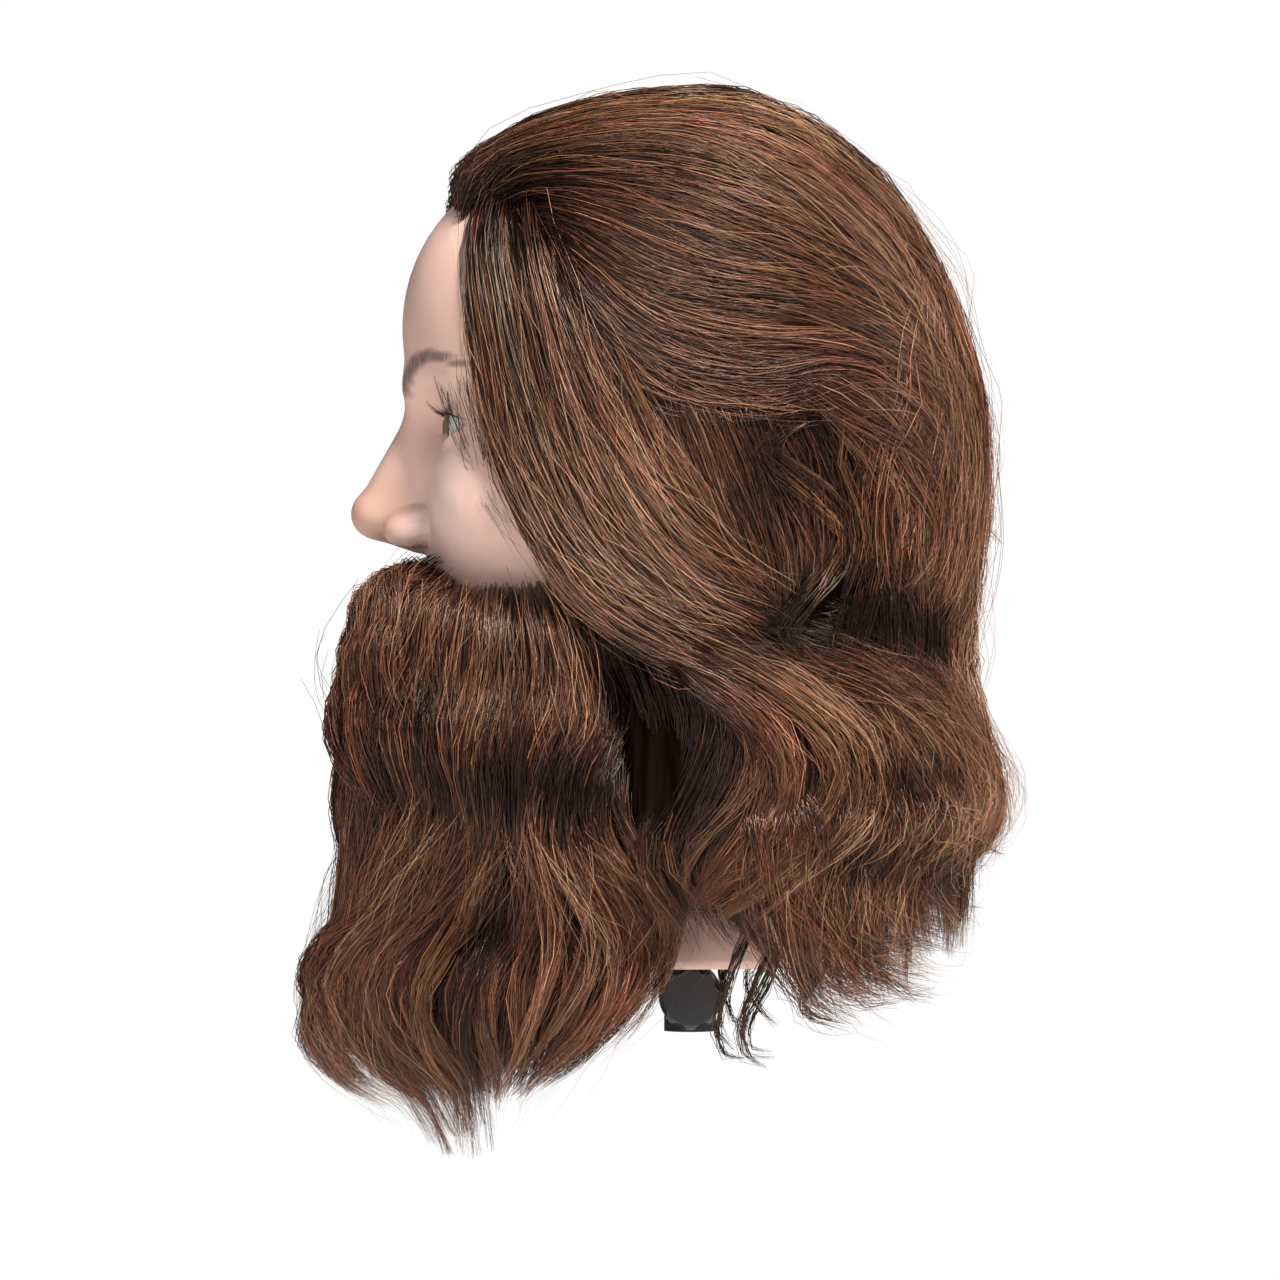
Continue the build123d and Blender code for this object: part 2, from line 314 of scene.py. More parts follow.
def join(a, b, k):
    h = np.clip(0.5 + 0.5 * (b - a) / k, 0.0, 1.0)
    return b + (a - b) * h - k * h * (1.0 - h)


def carve(a, b, k):
    return -join(-a, b, k)


def lid_opening(p):
    """Negative between the eyelids, outside the eyeball; p has x folded to one side."""
    u = (p[..., 0] - EYE_X) / 14.6
    lift = 1.2 * u
    top = 5.6 * np.sqrt(np.clip(1.0 - u * u, 0.0, 1.0)) ** 1.3 + lift
    low = -4.6 * np.clip(1.0 - u * u, 0.0, 1.0) + lift
    z = p[..., 2] - EYE_Z
    inside = np.maximum(z - top, low - z)
    inside = np.maximum(inside, (np.abs(u) - 1.0) * 14.6)
    ball = 10.2 - np.linalg.norm(p - np.array([EYE_X, EYE_Y, EYE_Z]), axis=-1)
    return np.maximum(np.maximum(inside, ball), p[..., 1] - EYE_Y)


def head_distance(p):
    """Signed distance of the sculpted head, mm."""
    p = p.copy()
    p[..., 0] = np.abs(p[..., 0])
    d = ellipsoid(p, (0, -4, 215), (75, 93, 88))                        # skull
    d = join(d, ellipsoid(p, (0, -40, 236), (58, 62.5, 56)), 22)        # forehead
    d = join(d, ellipsoid(p, (0, -36, 165), (61, 61, 88)), 18)          # middle of the face
    d = join(d, ellipsoid(p, (0, -62, 104), (46, 41, 30)), 20)          # jaw
    d = join(d, ellipsoid(p, (38, -64, 166), (24, 26, 22)), 16)         # cheeks
    neck = (np.hypot(p[..., 0] / 51.5, (p[..., 1] - 0.5) / 55.0) - 1.0) * 53.0
    neck = neck - 3.5 * smooth_step(22.0, 0.0, p[..., 2])
    d = join(d, np.maximum(neck, p[..., 2] - 120.0), 16)
    # brow ridge and eye sockets
    d = join(d, round_cone(p, (8, -94.5, 209), (40, -80, 214), 8.5, 6.0), 9)
    d = carve(d, ellipsoid(p, (31, -99, 197.5), (19, 13, 11.5)), 9)
    # bridge, root, tip, partition, wings and nostrils of the nose
    d = join(d, round_cone(p, (0, -95.0, 201), (0, -113.2, 164.5), 6.5, 8.6), 7)
    d = join(d, round_cone(p, (0, -88, 192), (0, -103, 163.5), 8.0, 11.5), 7)
    d = join(d, ellipsoid(p, (0, -114.8, 163.2), (9.6, 8.8, 8.6)), 3)
    d = join(d, round_cone(p, (0, -112.5, 159.6), (0, -99.0, 155.0), 4.4, 5.6), 3)
    d = join(d, ellipsoid(p, (12.2, -101.8, 157.6), (7.2, 9.6, 7.0)), 2.5)
    d = carve(d, ellipsoid(p, (6.6, -108.0, 151.6), (3.5, 7.0, 3.8)), 1.6)
    # mouth, ears and eyelids
    d = join(d, ellipsoid(p, (0, -93, 131), (22, 11, 8)), 6)
    d = join(d, ellipsoid(p, (76, 4, 172), (8, 15, 30)), 6)
    lid = np.linalg.norm(p - np.array([EYE_X, EYE_Y, EYE_Z]), axis=-1) - LID_R
    d = join(d, lid, 3.0)
    return np.maximum(d, -lid_opening(p))


def head_rays():
    """Origins and directions of the rays that find the head's surface, from crown to neck."""
    heights = np.concatenate([
        np.linspace(302, 236, 24, endpoint=False), np.linspace(236, 210, 18, endpoint=False),
        np.linspace(210, 182, 48, endpoint=False), np.linspace(182, 146, 38, endpoint=False),
        np.linspace(146, 100, 20, endpoint=False), np.linspace(100, 0, 30),
    ])
    front = np.concatenate([np.linspace(0, 58, 78, endpoint=False), np.linspace(58, 290, 54)]) / 290 * math.pi
    around = np.concatenate([front[:-1], -front[:0:-1]])
    level = smooth_step(150, 40, heights)
    centre_z = 192 + (heights - 192) * level
    slope = (heights - centre_z) / 92.0
    crown = heights > 240
    slope[crown] = np.tan(np.radians(np.interp(heights[crown], [240, 302], [27.5, 87.5])))
    origin = np.stack([np.zeros_like(heights), np.full_like(heights, -8.0), centre_z], -1)
    direction = np.stack([
        np.sin(around)[None, :] + 0 * slope[:, None], -np.cos(around)[None, :] + 0 * slope[:, None],
        slope[:, None] + 0 * around[None, :],
    ], -1)
    return origin[:, None, :] + 0 * direction, unit(direction)


def head_points(inset=0.0, coarse=1):
    origin, direction = head_rays()
    origin, direction = origin[::coarse, ::coarse], direction[::coarse, ::coarse]
    reach = np.full(direction.shape[:2], 240.0)
    for _ in range(90):
        d = head_distance(origin + direction * reach[..., None]) + inset
        reach = reach - np.clip(d, -2.0, 30.0) * 0.8
    return origin + direction * reach[..., None]


def build_head():
    points = head_points()
    rows, columns = points.shape[:2]
    points[-1, :, 2] = 0.0
    inner = points[-1] * 0 + np.stack([
        50.4 * unit(points[-1, :, :2])[:, 0], 54.4 * unit(points[-1, :, :2])[:, 1], 0 * points[-1, :, 0],
    ], -1)
    raised = inner + np.array([0, 0, 5.4])
    stack = np.concatenate([points.reshape(-1, 3), inner, raised, [[0, -8, 303.2]], [[0, 0, 5.4]]])
    obj = add_mesh("sculpted_skin", stack, closed_faces(rows + 2, columns), skin_material())
    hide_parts("head_skin")


def build_foam():
    """The foam core, a shell's thickness inside the sculpted skin and cut off over the neck plate."""
    points = head_points(inset=5.0, coarse=4)
    rows, columns = points.shape[:2]
    points[..., 2] = np.maximum(points[..., 2], 6.0)
    points[-1, :, 2] = 6.0
    stack = np.concatenate([points.reshape(-1, 3), [[0, -8, 298.0]], [[0, 0, 6.0]]])
    foam = plastic_material("foam", (0.62, 0.56, 0.44), 0.9, 500.0, 0.5)
    obj = add_mesh("foam_fill", stack, closed_faces(rows, columns), foam)
    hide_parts("foam_core")


def build_eyes():
    """Acrylic eyes with a corneal bulge; the iris is coloured by distance from the gaze axis."""
    mat, tree, shader = new_material("eye_acrylic", (0.78, 0.76, 0.73), 0.10, Coat_Weight=1.0,
                                     Coat_Roughness=0.02)
    coords = add_node(tree, "ShaderNodeTexCoord")
    split = add_node(tree, "ShaderNodeSeparateXYZ")
    tree.links.new(coords.outputs["Object"], split.inputs["Vector"])
    gap_x = math_node(tree, "SUBTRACT", math_node(tree, "ABSOLUTE", split.outputs["X"]), EYE_X * MM)
    gap_z = math_node(tree, "SUBTRACT", split.outputs["Z"], (EYE_Z + NECK_PLANE) * MM)
    square_x = math_node(tree, "MULTIPLY", gap_x, gap_x)
    square_z = math_node(tree, "MULTIPLY", gap_z, gap_z)
    away = math_node(tree, "SQRT", math_node(tree, "ADD", square_x, square_z))
    away = math_node(tree, "DIVIDE", away, EYE_R * MM)
    grain = math_node(tree, "MULTIPLY", noise_node(tree, 1400.0, 3.0), 0.05)
    away = math_node(tree, "ADD", away, math_node(tree, "SUBTRACT", grain, 0.025))
    color = ramp(tree, away, [(0.0, (0.004, 0.004, 0.004)), (0.19, (0.006, 0.005, 0.004)),
                              (0.22, (0.10, 0.065, 0.035)), (0.40, (0.16, 0.11, 0.06)),
                              (0.50, (0.03, 0.022, 0.016)), (0.54, (0.74, 0.72, 0.70)),
                              (1.0, (0.76, 0.72, 0.69))])
    tree.links.new(color, shader.inputs["Base Color"])
    for side, name in ((1, "eye_left"), (-1, "eye_right")):
        turn = np.linspace(0, math.pi, 41)
        around = np.linspace(0, 2 * math.pi, 64, endpoint=False)
        bulge = EYE_R + 1.1 * smooth_step(0.50, 0.20, turn)
        ring = np.stack([
            (bulge * np.sin(turn))[:, None] * np.cos(around)[None, :],
            -(bulge * np.cos(turn))[:, None] + 0 * around[None, :],
            (bulge * np.sin(turn))[:, None] * np.sin(around)[None, :],
        ], -1)[1:-1]
        poles = [[0, -bulge[0], 0], [0, EYE_R, 0]]
        points = np.concatenate([ring.reshape(-1, 3), poles]) + np.array([side * EYE_X, EYE_Y, EYE_Z])
        rows, columns = ring.shape[:2]
        obj = add_mesh(f"acrylic_{name}", points, closed_faces(rows, columns), mat)
        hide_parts(name)


def lid_edge(side, u):
    """A point on the edge of the upper lid; u runs from -1 at the inner corner to 1 at the outer."""
    x = EYE_X + 14.0 * u
    z = EYE_Z + 5.6 * max(0.0, 1 - u * u) ** 0.65 + 1.2 * u
    y = EYE_Y - math.sqrt(max(4.0, LID_R ** 2 - (x - EYE_X) ** 2 - (z - EYE_Z) ** 2))
    return np.array([side * x, y, z])


def build_lashes():
    mat, _, _ = new_material("lash_fibre", (0.010, 0.009, 0.008), 0.45)
    rng = np.random.default_rng(SEED + 1)
    for side, name in ((1, "lashes_left"), (-1, "lashes_right")):
        grown = Strands()
        paths, radii = [], []
        for u in np.linspace(-0.86, 0.95, 34):
            root = lid_edge(side, u) + rng.normal(0, 0.12, 3) + np.array([0, 0.5, -0.3])
            out = np.array([side * (0.15 + 0.62 * u), -1.0, 0.10]) + rng.normal(0, 0.06, 3)
            out /= np.linalg.norm(out)
            long = rng.uniform(6.0, 8.0) * (0.75 + 0.25 * (u > -0.3))
            s = np.linspace(0, 1, 9)[:, None]
            paths.append(root + out * long * s + np.array([0, 0, 1.0]) * long * (0.62 * s ** 2 - 0.20 * s))
            radii.append(0.13 * (1 - 0.8 * s[:, 0]))
        grown.add(np.array(paths), np.array(radii), np.zeros((len(paths), 8), int))
        obj = grown.build(f"fibre_{name}", [mat])[0]
        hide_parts(name)


# ---- strands ------------------------------------------------------------------------------------
TUBE_SIDES = 3
PIECE_TRIANGLES = 190000      # most triangles in one piece


class Strands:
    """Closed tapered tubes, gathered in batches and built as a few large meshes."""

    def __init__(self):
        self.batches = []

    def add(self, centres, radii, levels):
        """centres (n, s, 3) in mm, radii (n, s) in mm, material numbers (n, s - 1)."""
        self.batches.append((centres, radii, levels))

    def build(self, name, materials):
        made, group, used = [], [], 0
        for batch in self.batches:
            each = (batch[0].shape[1] - 1) * TUBE_SIDES * 2 + 2 * (TUBE_SIDES - 2)
            start = 0
            while start < len(batch[0]):
                room = max(1, (PIECE_TRIANGLES - used) // each)
                part = [a[start:start + room] for a in batch]
                group.append(part)
                used += len(part[0]) * each
                start += room
                if used + each > PIECE_TRIANGLES:
                    made.append(build_tubes(f"{name}_{len(made) + 1}", group, materials))
                    group, used = [], 0
        if group:
            made.append(build_tubes(f"{name}_{len(made) + 1}", group, materials))
        return made


def build_tubes(name, group, materials):
    points, quads, caps, quad_mats, cap_mats, base = [], [], [], [], [], 0
    turn = np.arange(TUBE_SIDES) / TUBE_SIDES * 2 * math.pi
    for centres, radii, levels in group:
        n, s = centres.shape[:2]
        along = unit(np.gradient(centres, axis=1))
        helper = np.where(np.abs(along[:, :1, 2:3]) > 0.9, [[[1.0, 0, 0]]], [[[0, 0, 1.0]]])
        first = unit(np.cross(along, helper + 0 * along))
        for k in range(1, s):
            kept = first[:, k - 1] - along[:, k] * np.sum(first[:, k - 1] * along[:, k], -1, keepdims=True)
            first[:, k] = unit(kept)
        second = np.cross(along, first)
        ring = centres[:, :, None, :] + radii[:, :, None, None] * (
            np.cos(turn)[:, None] * first[:, :, None, :] + np.sin(turn)[:, None] * second[:, :, None, :])
        points.append(ring.reshape(-1, 3))
        ids = base + np.arange(n * s * TUBE_SIDES).reshape(n, s, TUBE_SIDES)
        nxt = np.roll(ids, -1, axis=2)
        quads.append(np.stack([ids[:, :-1], nxt[:, :-1], nxt[:, 1:], ids[:, 1:]], -1).reshape(-1, 4))
        quad_mats.append(np.repeat(levels.reshape(-1), TUBE_SIDES))
        caps += [ids[:, 0, ::-1], ids[:, -1, :]]
        cap_mats += [levels[:, 0], levels[:, -1]]
        base += n * s * TUBE_SIDES
    points, quads, caps = np.concatenate(points), np.concatenate(quads), np.concatenate(caps)
    corners = np.concatenate([quads.reshape(-1), caps.reshape(-1)]).astype(np.int32)
    sizes = np.concatenate([np.full(len(quads), 4), np.full(len(caps), TUBE_SIDES)]).astype(np.int32)
    mesh = bpy.data.meshes.new(name)
    mesh.vertices.add(len(points))
    mesh.vertices.foreach_set("co", metres(points).astype(np.float32).reshape(-1))
    mesh.loops.add(len(corners))
    mesh.loops.foreach_set("vertex_index", corners)
    mesh.polygons.add(len(sizes))
    mesh.polygons.foreach_set("loop_start", (np.cumsum(sizes) - sizes).astype(np.int32))
    for mat in materials:
        mesh.materials.append(mat)
    chosen = np.concatenate(quad_mats + cap_mats).astype(np.int32)
    mesh.polygons.foreach_set("material_index", chosen)
    mesh.polygons.foreach_set("use_smooth", np.ones(len(sizes), bool))
    mesh.update(calc_edges=True)
    mesh.validate()
    obj = bpy.data.objects.new(name, mesh)
    bpy.context.scene.collection.objects.link(obj)
    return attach(obj, "head")


def resample(points, count):
    """count evenly spaced points on a smooth curve through the given points."""
    points = np.asarray(points, float)
    padded = np.concatenate([[2 * points[0] - points[1]], points, [2 * points[-1] - points[-2]]])
    t = np.linspace(0, len(points) - 1, 12 * (len(points) - 1) + 1)
    i = np.minimum(t.astype(int), len(points) - 2)
    f = (t - i)[:, None]
    p0, p1, p2, p3 = (padded[i + k] for k in range(4))
    curve = 0.5 * (2 * p1 + (p2 - p0) * f + (2 * p0 - 5 * p1 + 4 * p2 - p3) * f ** 2
                   + (3 * p1 - p0 - 3 * p2 + p3) * f ** 3)
    walked = np.concatenate([[0], np.cumsum(np.linalg.norm(np.diff(curve, axis=0), axis=1))])
    even = np.linspace(0, walked[-1], count)
    return np.stack([np.interp(even, walked, curve[:, k]) for k in range(curve.shape[1])], -1)


def outward_of(rows, p):
    """Unit normals of the envelope at points p, from its level sections."""
    def level(z):
        cy, w, d = sections(rows, z)
        return (p[:, 0] / np.maximum(w, 3)) ** 2 + ((p[:, 1] - cy) / np.maximum(d, 3)) ** 2
    cy, w, d = sections(rows, p[:, 2])
    w, d = np.maximum(w, 3), np.maximum(d, 3)
    slope = (level(p[:, 2] + 1.5) - level(p[:, 2] - 1.5)) / 3.0
    return unit(np.stack([2 * p[:, 0] / w ** 2, 2 * (p[:, 1] - cy) / d ** 2, slope], -1))


SCALP_WAVES, BEARD_WAVES = (72, 0.4, 140), (84, -2.2, 150)      # length, phase, top of the waves
FINE = 96      # points of a lock's centre line
SHELL = 3.8    # depth of the outer locks' centre lines under the outline, mm


POCKETS = [      # hollows between the waves of the side hair: y, z, half sizes, depth in mm
    (-12, 76, 15, 18, 14), (-46, 66, 15, 16, 11), (-84, 66, 26, 13, 3.5), (54, 126, 22, 11, 14),
    (78, 67, 19, 8, 6), (32, 176, 14, 22, 2.5), (88, 118, 13, 11, 8), (30, 118, 14, 8, 6),
    (-72, 12, 16, 12, 5), (60, 36, 12, 8, 3.5), (-96, 96, 10, 14, 4), (-24, 104, 10, 14, 7),
    (86, 30, 10, 8, 2.5),
]
# lighter patches: y, z, half sizes, and by how many levels of colour
SUNLIT = [(-22, 174, 24, 22, 1.3), (86, 262, 22, 34, 1.1), (40, 86, 16, 22, 1.0), (-86, 128, 34, 14, 1.2),
          (-126, -8, 22, 28, 0.9), (88, 176, 14, 22, 0.7), (-20, 38, 26, 10, 0.9), (-64, 262, 20, 16, -0.6),
          (20, 44, 14, 12, 0.6), (100, 60, 12, 16, 0.5), (24, 288, 34, 14, 0.4)]


def spots_at(spots, y, z):
    """The sum of soft spots at y and z."""
    total = 0.0
    for spot_y, spot_z, half_y, half_z, amount in spots:
        total = total + amount * np.exp(-((y - spot_y) / half_y) ** 2 - ((z - spot_z) / half_z) ** 2)
    return total


def swell(z, y, waves):
    """Waves that run across neighbouring locks, as shares of their full depth."""
    length, phase, top = waves
    return np.sin(2 * math.pi * z / length + phase + 0.02 * y) * smooth_step(top, top - 45, z)


def side_line(rows, guide, side, lift, spread, waves, depth):
    """A side-view guide (y, z) laid on the envelope, lift mm proud of it."""
    yz = resample(guide, FINE)
    cy, w, d = sections(rows, yz[:, 1])
    t = np.clip((yz[:, 0] - cy) / d, -1, 1)
    x = np.sqrt(np.maximum(0.0, 1 - t * t)) * w
    line = np.stack([side * np.sqrt(x * x + spread * spread), yz[:, 0], yz[:, 1]], -1)
    rise = lift - SHELL + depth * swell(line[:, 2], line[:, 1], waves)
    rise = rise - spots_at(POCKETS, line[:, 1], line[:, 2])
    return line + outward_of(rows, line) * rise[:, None]


def round_line(rows, guide, lift, facing, waves, depth):
    """A guide (x, z) seen from the front (facing -1) or the back (1), laid on the envelope."""
    xz = resample(guide, FINE)
    cy, w, d = sections(rows, xz[:, 1])
    t = np.clip(xz[:, 0] / w, -1, 1)
    y = cy + facing * d * np.sqrt(np.maximum(0.0, 1 - t * t))
    line = np.stack([xz[:, 0], y, xz[:, 1]], -1)
    rise = lift - SHELL + depth * swell(line[:, 2], line[:, 0], waves)
    return line + outward_of(rows, line) * rise[:, None]


def disc(rng, n):
    """n random places in a disc of radius 1."""
    r, a = np.sqrt(rng.random(n)), rng.random(n) * 2 * math.pi
    return np.stack([r * np.cos(a), r * np.sin(a)], -1)


SWAY_LENGTH = 92.0     # length of the waves that locks make from side to side, mm
TIP_LEVEL = -66.0      # hairs that fall below this are drawn up towards it, mm
HOLLOW_SHADE = 0.42    # levels of colour that a hollow takes away for each mm of its depth


def grow_lock(grown, rng, line, outward, look):
    """Strands along one lock's centre line.

    look: width and thick in mm, count, level and tint of the colour, clump 0-1, frizz in mm,
    root and tip as shares of the width, radius of a strand in mm."""
    count, fine = look["count"], len(line)
    long = np.linalg.norm(np.diff(line, axis=0), axis=1).sum()
    along = unit(np.gradient(line, axis=0))
    across = unit(np.cross(outward, along))
    out = unit(np.cross(along, across))
    steps = int(np.clip(long / look.get("step", 12.0), 6, 20)) + 1
    s = np.linspace(0, 1, steps)
    start = rng.random(count) * look.get("stagger", 0.06)
    stop = 1.0 - rng.random(count) ** 2 * look.get("ragged", 0.30)
    place = (start[:, None] + s[None, :] * (stop - start)[:, None]) * (fine - 1)
    i = np.minimum(place.astype(int), fine - 2)
    f = (place - i)[..., None]

    def pick(table):
        return table[i] * (1 - f) + table[i + 1] * f
    clumps = max(2, count // 13)
    member = rng.integers(clumps, size=count)
    middles = disc(rng, clumps)
    clump_level = rng.normal(0, 0.65, clumps)
    loose = disc(rng, count)
    pull = look["clump"] * smooth_step(0.05, 0.85, s)[None, :, None]
    uv = loose[:, None, :] * (1 - pull) + middles[member][:, None, :] * pull
    q = place[..., None] / (fine - 1)
    girth = np.interp(q[..., 0], [0, 0.25, 0.7, 1], [look["root"], 1.0, 0.85, look["tip"]])[..., None]
    phase = rng.random((clumps, 2)) * 2 * math.pi
    waves = rng.uniform(0.5, 1.1, (clumps, 2)) * long / 70.0
    wander = np.sin(phase[member][:, None, :] + q * waves[member][:, None, :] * 2 * math.pi)
    wander = wander * look.get("wander", 1.2) * smooth_step(0, 0.3, q)
    phase2 = rng.random((count, 1, 2)) * 2 * math.pi
    waves2 = rng.uniform(0.5, 1.5, (count, 1, 2)) * long / 60.0
    frizz = np.sin(phase2 + q * waves2 * 2 * math.pi) * look["frizz"] * (0.35 + 0.65 * q)
    frizz = frizz * rng.gamma(1.2, 0.8, (count, 1, 1)).clip(0.1, look.get("wild", 3.0))
    size = np.array([look["width"], look["thick"]]) / 2.0
    shift = uv * size * girth + wander + frizz
    centres = pick(line) + shift[..., :1] * pick(across) + shift[..., 1:] * pick(out)
    centres[..., 2] -= 0.7 * np.minimum(centres[..., 2] - TIP_LEVEL, 0.0)
    base = look["radius"] * rng.uniform(0.75, 1.25, count)[:, None]
    radii = base * np.interp(s, [0, 0.1, 0.75, 1], [0.85, 1.0, 0.85, 0.18])[None, :]
    level = look["level"] + rng.normal(0, look.get("mix", 1.1), count)[:, None]
    middle = (q[:, :-1, 0] + q[:, 1:, 0]) / 2
    level = level - look.get("rooting", 1.5) * (1 - smooth_step(0.0, 0.22, middle))
    level = level + 0.5 * smooth_step(0.6, 1.0, middle)
    places = (centres[:, :-1] + centres[:, 1:]) / 2
    beside = smooth_step(25, 55, np.abs(places[..., 0]))
    level = level - beside * HOLLOW_SHADE * spots_at(POCKETS, places[..., 1], places[..., 2])
    level = level + beside * spots_at(SUNLIT, places[..., 1], places[..., 2])
    level = level + clump_level[member][:, None]
    level = np.clip(np.rint(level), 0, len(HAIR_LEVELS) - 1).astype(int)
    tint = np.where(rng.random(count) < 0.7, look["tint"], rng.integers(len(TINT_NAMES), size=count))
    grown.add(centres, radii, level + tint[:, None] * len(HAIR_LEVELS))


def grow_family(grown, rng, rows, guides, locks, side, look, lift, chart="side", jitter=2.5, facing=-1):
    """Locks spread evenly between neighbouring guides, from the first guide to the last."""
    guides = [np.asarray(g, float) for g in guides]
    fine = [resample(g, FINE) for g in guides]
    for n in range(locks):
        g = (n + rng.uniform(0.15, 0.85)) / locks * (len(guides) - 1)
        k = min(int(g), len(guides) - 2)
        part = smooth_step(0, 1, g - k) * 0.5 + (g - k) * 0.5
        path = fine[k] * (1 - part) + fine[k + 1] * part
        swing = rng.normal(0, jitter, (3, 2)).clip(-1.5 * jitter, 1.5 * jitter)
        s = np.linspace(0, 1, FINE)[:, None]
        path = path + swing[0] * (0.25 + 0.75 * s)
        path = path + swing[1] * np.sin(s * math.pi * rng.uniform(1.0, 3.0))
        raise_by = rng.uniform(*lift)
        waves, depth = look.get("waves", SCALP_WAVES), look.get("depth", 3.2)
        phase = 1.2 + 0.03 * path[:, 0].mean() + rng.normal(0, 0.8)
        sway = np.sin(2 * math.pi * path[:, 1] / SWAY_LENGTH + phase)
        path[:, 0] += look.get("sway", 2.4) * sway * smooth_step(150, 105, path[:, 1])
        if chart == "side":
            line = side_line(rows, path, side, raise_by, rng.uniform(1, 16), waves, depth)
        else:
            path[:, 0] *= side
            line = round_line(rows, path, raise_by, facing, waves, depth)
        if look.get("sink"):
            outward = outward_of(rows, line)
            line = line - outward * look["sink"] * (1 - smooth_step(0, look.get("rise", 0.3), s))
        own = dict(look)
        own["level"] = look["level"] + rng.normal(0, 0.5)
        own["tint"] = int(rng.choice(len(TINT_NAMES), p=look.get("tints", [0.3, 0.4, 0.12, 0.18])))
        own["width"] = look["width"] * rng.uniform(0.7, 1.3)
        own["count"] = int(look["count"] * rng.uniform(0.75, 1.25))
        grow_lock(grown, rng, line, outward_of(rows, line), own)


# ---- guides: (y, z) in mm above the neck plane, read along the fall of each lock ------------------
TOP_SWEEP = [
    [(-87, 271), (-87, 283), (-82, 293), (-69, 302), (-47, 310), (-15, 315), (11, 316), (38, 308),
     (60, 293), (76, 278), (89, 257), (96, 237), (104, 212), (107, 190), (106, 168), (103, 147), (103, 118)],
    [(-84, 271), (-84, 283), (-72, 295), (-42, 303), (-8, 305), (25, 299), (52, 284), (74, 262), (88, 236),
     (97, 208), (101, 180), (100, 152), (98, 126)],
    [(-81, 271), (-78, 281), (-64, 290), (-38, 293), (-8, 292), (22, 284), (48, 270), (70, 250), (86, 228),
     (96, 204), (100, 178), (98, 152)],
    [(-74, 276), (-62, 284), (-38, 284), (-10, 279), (18, 270), (44, 258), (68, 243), (86, 224), (97, 200),
     (101, 176), (98, 150)],
    [(-68, 276), (-58, 279), (-38, 275), (-12, 266), (14, 257), (42, 249), (66, 238), (86, 222), (97, 200),
     (103, 176), (103, 150)],
    [(-64, 274), (-38, 266), (-14, 254), (12, 246), (38, 241), (62, 234), (84, 221), (98, 202), (105, 178)],
    [(-60, 271), (-38, 258), (-16, 242), (8, 234), (34, 231), (58, 227), (80, 217), (95, 200), (103, 180)],
    [(-56, 268), (-40, 250), (-20, 232), (4, 222), (28, 219), (52, 219), (74, 213), (90, 199), (100, 180),
     (103, 158)],
    [(-54, 262), (-44, 245), (-30, 226), (-12, 212), (8, 204), (28, 203), (48, 208), (66, 206), (82, 196),
     (92, 180), (95, 162)],
]
CURTAIN = [
    [(-80, 284), (-82, 262), (-80, 235), (-76, 207), (-68, 180), (-58, 158), (-44, 137), (-26, 121), (0, 110),
     (26, 102), (46, 88), (56, 70), (54, 52), (42, 38)],
    [(-77, 284), (-78, 262), (-74, 235), (-69, 207), (-61, 180), (-51, 158), (-37, 138), (-16, 122), (8, 112),
     (32, 104), (54, 92), (66, 76), (66, 58), (56, 42)],
    [(-72, 284), (-73, 262), (-68, 235), (-62, 207), (-54, 182), (-44, 160), (-28, 140), (-6, 124), (16, 114),
     (42, 108), (64, 98), (80, 84), (84, 66), (76, 50)],
    [(-67, 282), (-66, 262), (-60, 235), (-53, 208), (-44, 184), (-34, 162), (-18, 142), (2, 126), (22, 116),
     (48, 112), (70, 104), (88, 90), (94, 72), (90, 54)],
    [(-62, 280), (-58, 260), (-51, 235), (-43, 208), (-34, 186), (-23, 164), (-8, 146), (12, 132), (36, 122),
     (60, 114), (82, 101), (96, 84), (100, 64)],
    [(-58, 276), (-50, 256), (-42, 232), (-33, 208), (-23, 186), (-12, 166), (2, 149), (20, 134), (44, 124)],
    [(-56, 272), (-44, 250), (-34, 228), (-24, 206), (-13, 186), (-2, 168), (10, 152), (28, 138), (50, 130)],
]
BELOW_SWEEP = [
    [(-24, 218), (-14, 197), (-4, 177), (6, 157), (15, 138), (24, 122)],
    [(-8, 214), (0, 195), (8, 175), (16, 155), (24, 135), (32, 116), (42, 100)],
    [(4, 208), (12, 188), (20, 168), (27, 148), (33, 128), (42, 110), (54, 96)],
    [(16, 206), (24, 186), (32, 166), (38, 146), (42, 128), (50, 112)],
    [(28, 206), (38, 188), (46, 168), (50, 148), (52, 130)],
    [(40, 210), (52, 194), (60, 174), (64, 152), (63, 132), (66, 116)],
]
BACK_CURLS = [
    [(34, 214), (52, 208), (70, 198), (84, 182), (92, 163), (92, 146), (84, 136), (72, 130)],
    [(36, 210), (56, 202), (72, 190), (82, 174), (87, 156), (85, 142), (76, 134)],
    [(40, 218), (62, 213), (80, 202), (93, 186), (99, 168), (100, 150), (96, 136)],
    [(46, 204), (60, 194), (70, 180), (76, 162), (76, 146), (70, 136)],
    [(60, 222), (80, 214), (95, 200), (103, 182), (105, 162), (103, 142), (98, 128)],
]
BACK_EDGE = [
    [(91, 248), (98, 222), (103, 200), (106, 180), (105, 160), (102, 140), (100, 120), (100, 100),
     (103, 80), (104, 62), (103, 48), (97, 36)],
    [(84, 250), (92, 224), (97, 200), (98, 176), (96, 152), (92, 130), (92, 110), (97, 88),
     (100, 66), (96, 46)],
]
SWIRL = [
    [(0, 116), (20, 108), (38, 95), (48, 79), (50, 62), (42, 46), (28, 35), (14, 28), (4, 22)],
    [(12, 118), (32, 109), (50, 95), (60, 77), (60, 58), (50, 42), (36, 30), (24, 22)],
]
